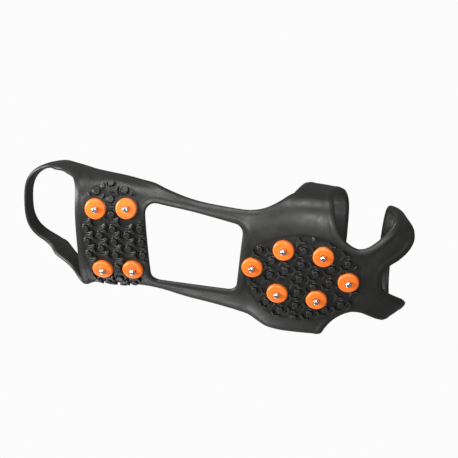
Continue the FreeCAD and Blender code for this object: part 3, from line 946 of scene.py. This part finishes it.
def place_piece(item, material, slot, *nodes):
    """Gives a finished piece its material and body, and hides the CAD nodes that it stands for; slot is not
    used.
    """
    item.data.materials.append(material)
    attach(item, "root")
    if nodes:
        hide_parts(*nodes)


# ---------------------------------------------------------------- materials
def new_material(name):
    """Empty node material: its tree and its Principled shader."""
    material = bpy.data.materials.new(name)
    material.use_nodes = True
    return material, material.node_tree, material.node_tree.nodes["Principled BSDF"]


def add_node(tree, kind, settings=None, **inputs):
    """A node with its settings and input values; an input may be another node's output socket."""
    node = tree.nodes.new(kind)
    for name, value in (settings or {}).items():
        setattr(node, name, value)
    for name, value in inputs.items():
        socket = node.inputs[name.replace("_", " ")]
        if isinstance(value, bpy.types.NodeSocket):
            tree.links.new(value, socket)
        else:
            socket.default_value = value
    return node


def noise(tree, scale, detail=3.0, stretch=None):
    """Noise in the object's own coordinates; scale is in features for each metre."""
    place = add_node(tree, "ShaderNodeTexCoord").outputs["Object"]
    if stretch:
        place = add_node(tree, "ShaderNodeMapping", Vector=place, Scale=stretch).outputs["Vector"]
    return add_node(tree, "ShaderNodeTexNoise", Vector=place, Scale=scale, Detail=detail).outputs["Fac"]


def ramp(tree, value, low, high, from_low=0.0, from_high=1.0):
    """Maps a value's range smoothly to another."""
    node = add_node(tree, "ShaderNodeMapRange", {"interpolation_type": "SMOOTHSTEP"}, Value=value)
    node.inputs["From Min"].default_value = from_low
    node.inputs["From Max"].default_value = from_high
    node.inputs["To Min"].default_value = low
    node.inputs["To Max"].default_value = high
    return node.outputs["Result"]


def mix_colour(tree, share, first, second):
    """Colour between two, each a tuple or a socket."""
    node = tree.nodes.new("ShaderNodeMix")
    node.data_type = "RGBA"
    for socket, value in ((node.inputs[0], share), (node.inputs[6], first), (node.inputs[7], second)):
        if isinstance(value, bpy.types.NodeSocket):
            tree.links.new(value, socket)
        else:
            socket.default_value = value
    return node.outputs[2]


def bump(tree, height, distance, strength, under=None):
    """Bump from a height, over another bump's normal."""
    node = add_node(tree, "ShaderNodeBump", Height=height, Distance=distance, Strength=strength)
    if under:
        tree.links.new(under, node.inputs["Normal"])
    return node.outputs["Normal"]


def rubber_material():
    """Moulded black rubber: mottled, faintly grained, dusty in specks, with painted shadow darkening the
    tread floors and the sides and feet of the posts and bars.
    """
    material, tree, shader = new_material("moulded_rubber")
    shader.inputs["Specular IOR Level"].default_value = 0.42
    mottle = noise(tree, 55, 4)
    colour = mix_colour(tree, ramp(tree, mottle, 0, 1, 0.35, 0.68),
                        (0.0125, 0.0131, 0.0117, 1), (0.0180, 0.0188, 0.0168, 1))
    specks = ramp(tree, noise(tree, 1500, 1), 0, 0.55, 0.735, 0.80)
    patches = ramp(tree, noise(tree, 90, 2), 0, 1, 0.45, 0.65)
    dust = add_node(tree, "ShaderNodeMath", {"operation": "MULTIPLY"})
    tree.links.new(specks, dust.inputs[0])
    tree.links.new(patches, dust.inputs[1])
    colour = mix_colour(tree, dust.outputs[0], colour, (0.16, 0.165, 0.15, 1))
    # Painted shadow: the depth attribute is painted darkness, not depth; it turns the colour towards near
    # black on tread floors, sides and feet.
    depth = add_node(tree, "ShaderNodeAttribute", {"attribute_name": "depth"}).outputs["Fac"]
    colour = mix_colour(tree, depth, colour, (0.0040, 0.0042, 0.0038, 1))
    tree.links.new(colour, shader.inputs["Base Color"])
    worn = ramp(tree, noise(tree, 160, 3), 0.36, 0.48, 0.3, 0.7)
    tree.links.new(worn, shader.inputs["Roughness"])
    grain = bump(tree, noise(tree, 2600, 2), 0.00006, 0.35)
    waves = bump(tree, noise(tree, 60, 1), 0.0004, 0.12, grain)
    tree.links.new(waves, shader.inputs["Normal"])
    return material


def collar_material():
    """Glossy orange plastic, moulded, with faint flow marks and light scuffs."""
    material, tree, shader = new_material("orange_plastic")
    shader.inputs["Specular IOR Level"].default_value = 0.5
    colour = mix_colour(tree, ramp(tree, noise(tree, 140, 3), 0, 1, 0.3, 0.7),
                        (0.84, 0.150, 0.014, 1), (0.91, 0.192, 0.021, 1))
    scuffs = ramp(tree, noise(tree, 420, 4, (1, 6, 1)), 0, 0.35, 0.66, 0.80)
    colour = mix_colour(tree, scuffs, colour, (0.93, 0.36, 0.11, 1))
    tree.links.new(colour, shader.inputs["Base Color"])
    tree.links.new(ramp(tree, noise(tree, 300, 3), 0.26, 0.44, 0.3, 0.7), shader.inputs["Roughness"])
    fine = bump(tree, noise(tree, 1800, 2), 0.00004, 0.3)
    tree.links.new(bump(tree, noise(tree, 160, 1), 0.0003, 0.12, fine), shader.inputs["Normal"])
    return material


def pin_material():
    """Hard bright steel with fine turning marks and dull worn spots."""
    material, tree, shader = new_material("pin_steel")
    shader.inputs["Metallic"].default_value = 1.0
    colour = mix_colour(tree, ramp(tree, noise(tree, 600, 4), 0, 1, 0.35, 0.75),
                        (0.80, 0.80, 0.79, 1), (0.56, 0.555, 0.54, 1))
    tree.links.new(colour, shader.inputs["Base Color"])
    tree.links.new(ramp(tree, noise(tree, 900, 4), 0.14, 0.34, 0.3, 0.75), shader.inputs["Roughness"])
    marks = bump(tree, noise(tree, 700, 3, (1, 1, 7)), 0.00005, 0.25)
    tree.links.new(bump(tree, noise(tree, 2400, 2), 0.00003, 0.25, marks), shader.inputs["Normal"])
    return material


# ---------------------------------------------------------------- the object
def make_overshoe(material):
    """The rubber with the two treads that are moulded on it."""
    vertices, faces, painted_shade = rubber_mesh()
    shell = new_object("overshoe_rubber", vertices, faces)
    # The depth attribute carries the rubber's painted shadow on the tread floors.
    point_values(shell, "depth", painted_shade)
    place_piece(shell, material, "rubber", "rubber_overshoe")
    studs = [plan_to_chart(spot) for spot in stud_points().values()]
    for name, lattice, tread in (("heel_tread", HEEL_LATTICE, heel_tread_loop()),
                                 ("forefoot_tread", FOREFOOT_LATTICE, forefoot_tread_loop())):
        vertices, faces, painted_shade = tread_mesh(lattice, tread, studs)
        piece = new_object(name, vertices, faces, 62)
        # The depth attribute carries the painted shadow on the sides and feet of the posts and bars.
        point_values(piece, "depth", painted_shade)
        place_piece(piece, material, "rubber")


def make_studs(collar_finish, pin_finish):
    """Ten collars and ten pins on the pads."""
    collar_shape = turned_mesh(collar_profile(), 96)
    pin_shape = turned_mesh(pin_profile(), 64)
    for name, spot in stud_points().items():
        matrix = np.array(stud_matrix(spot))
        for kind, shape, finish, slot in (("collar", collar_shape, collar_finish, "collar_plastic"),
                                          ("pin", pin_shape, pin_finish, "pin_steel")):
            vertices = shape[0] @ matrix[:3, :3].T + matrix[:3, 3]
            faces = [face[::-1] for face in shape[1]]
            piece = new_object("%s_%s_finished" % (kind, name), vertices, faces, 40)
            place_piece(piece, finish, slot, "%s_%s" % (kind, name))


# ---------------------------------------------------------------- studio
def floor_material():
    """Pale matt floor that is seen from above only, so that the underside can be looked at."""
    material, tree, shader = new_material("pale_floor")
    tree.nodes.remove(shader)
    pale = mix_colour(tree, noise(tree, 6, 3), (0.80, 0.80, 0.79, 1), (0.84, 0.84, 0.83, 1))
    matt = add_node(tree, "ShaderNodeBsdfDiffuse", Color=pale).outputs[0]
    clear = add_node(tree, "ShaderNodeBsdfTransparent").outputs[0]
    under = add_node(tree, "ShaderNodeNewGeometry").outputs["Backfacing"]
    mix = tree.nodes.new("ShaderNodeMixShader")
    for socket, output in zip(mix.inputs, (under, matt, clear)):
        tree.links.new(output, socket)
    tree.links.new(mix.outputs[0], tree.nodes["Material Output"].inputs["Surface"])
    return material


def make_floor():
    """Floor under the pins."""
    reach = 1400.0
    corners = np.array([(-reach, -reach, 0), (reach, -reach, 0), (reach, reach, 0), (-reach, reach, 0)])
    floor = new_object("floor", corners, [(0, 1, 2, 3)])
    floor.data.materials.append(floor_material())
    floor.visible_shadow = False
    floor.visible_diffuse = False
    floor.visible_glossy = False


def add_light(name, place, target, width, power):
    """Square soft light that faces a target."""
    data = bpy.data.lights.new(name, "AREA")
    data.size = width
    data.energy = power
    item = bpy.data.objects.new(name, data)
    item.location = place
    item.rotation_mode = "QUATERNION"
    item.rotation_quaternion = (Vector(target) - Vector(place)).to_track_quat("-Z", "Y")
    bpy.context.scene.collection.objects.link(item)


def make_surroundings():
    """White backdrop all round that lights the object less than it shows."""
    world = bpy.data.worlds.new("white_surroundings")
    world.use_nodes = True
    tree = world.node_tree
    seen = add_node(tree, "ShaderNodeBackground", Color=(1, 1, 1, 1), Strength=0.97).outputs[0]
    light = add_node(tree, "ShaderNodeBackground", Color=(1, 1, 1, 1), Strength=0.2).outputs[0]
    to_camera = add_node(tree, "ShaderNodeLightPath").outputs["Is Camera Ray"]
    mix = tree.nodes.new("ShaderNodeMixShader")
    for socket, output in zip(mix.inputs, (to_camera, light, seen)):
        tree.links.new(output, socket)
    tree.links.new(mix.outputs[0], tree.nodes["World Output"].inputs["Surface"])
    bpy.context.scene.world = world


def make_studio():
    """Soft lights from the sole's side and above, and the camera."""
    bpy.context.scene.view_settings.view_transform = "Standard"
    middle = (0, -0.005, 0.03)
    add_light("heel_side_softbox", (-0.94, -0.24, -0.42), middle, 0.5, 22.0)
    add_light("lateral_softbox", (-0.10, -1.00, -0.06), middle, 0.5, 6.5)
    add_light("medial_softbox", (-0.30, 0.96, -0.24), middle, 0.4, 2.5)
    add_light("front_softbox", (0.16, -0.46, -1.08), middle, 0.3, 8.5)
    camera = bpy.data.objects.new("camera", bpy.data.cameras.new("camera"))
    camera.data.sensor_width = 36
    camera.data.lens = 104.1
    right, up, back = (0.988, -0.053, 0.145), (-0.119, -0.864, 0.490), (0.099, -0.501, -0.860)
    turn = Matrix((right, up, back)).transposed().to_quaternion()
    camera.rotation_mode = "QUATERNION"
    camera.rotation_quaternion = turn.normalized()
    camera.location = (0.1138, -0.5285, -0.8397)
    bpy.context.scene.collection.objects.link(camera)
    bpy.context.scene.camera = camera


make_overshoe(rubber_material())
make_studs(collar_material(), pin_material())
make_floor()
make_surroundings()
make_studio()
